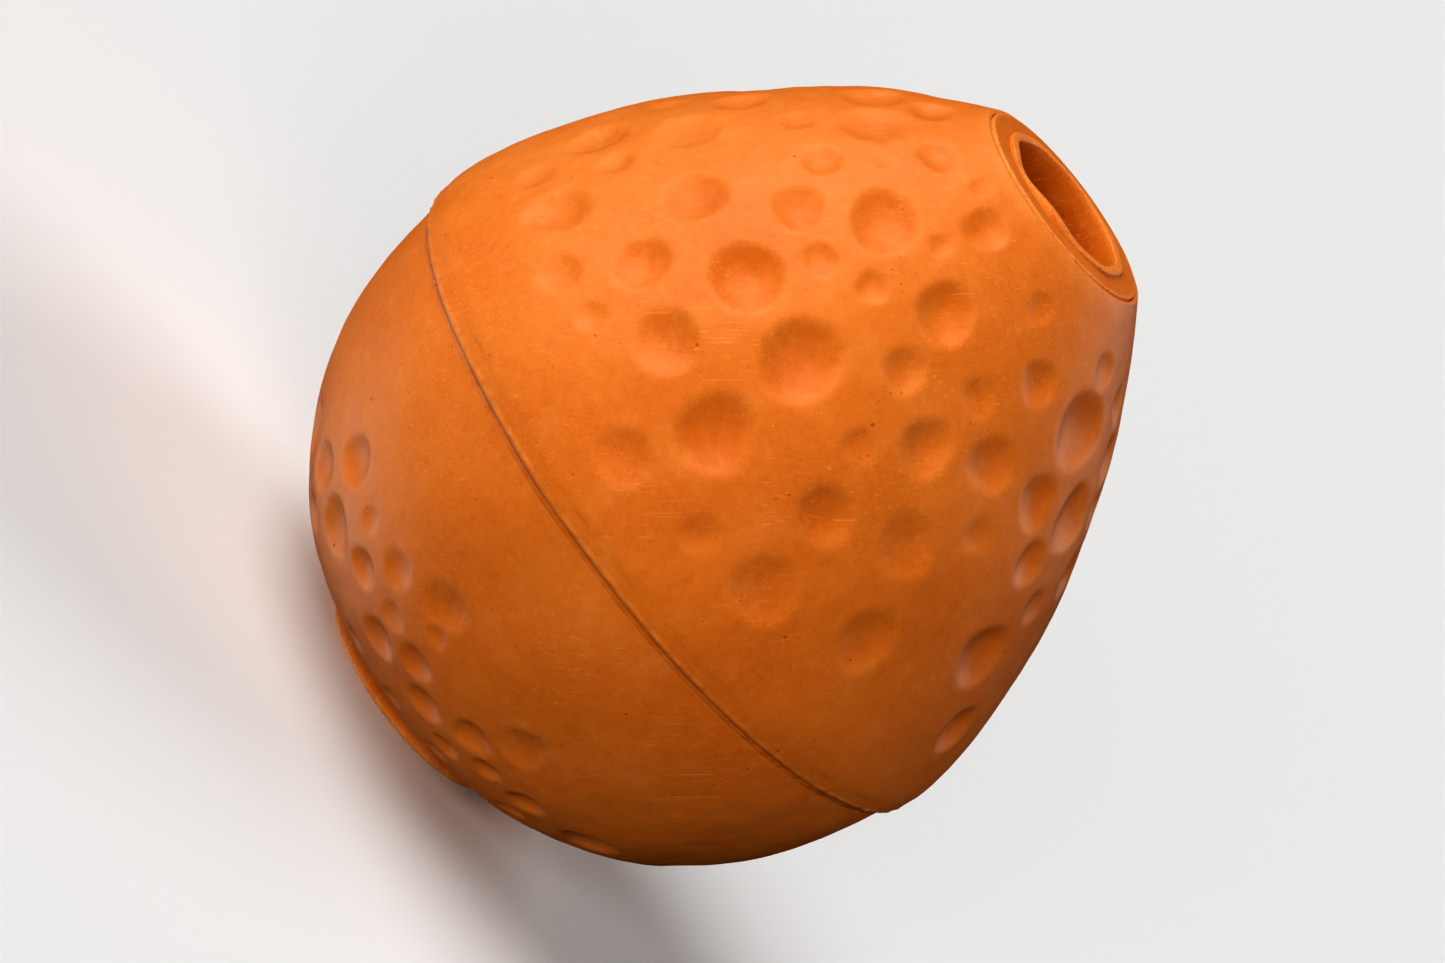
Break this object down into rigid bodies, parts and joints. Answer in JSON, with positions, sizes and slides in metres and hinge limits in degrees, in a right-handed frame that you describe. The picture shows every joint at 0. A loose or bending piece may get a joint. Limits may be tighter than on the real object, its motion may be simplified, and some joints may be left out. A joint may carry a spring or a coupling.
{
  "type": "hollow rubber treat toy",
  "caption": "Hollow egg-shaped rubber dog toy with shallow round craters, a stepped seam between two bonded half shells, a round treat hole and a flat base pad.",
  "frame": {"origin": "centre of the flat face of the base pad, on the egg's axis", "axes": "+Z along the egg's axis from the base pad to the treat hole, -Y the front, +X to the right of the front"},
  "size_m": [0.09, 0.09, 0.0988],
  "materials": {
    "moulded_rubber": "matte orange natural rubber, faintly bloomed and scuffed",
    "bonding_rubber": "matte orange bonding rubber, thin uneven flash"
  },
  "bodies": {
    "root": {"upper_shell": "moulded_rubber", "lower_shell": "moulded_rubber", "mouth_ring": "moulded_rubber", "base_plug": "moulded_rubber", "seam_bead": "bonding_rubber"}
  },
  "joints": []
}
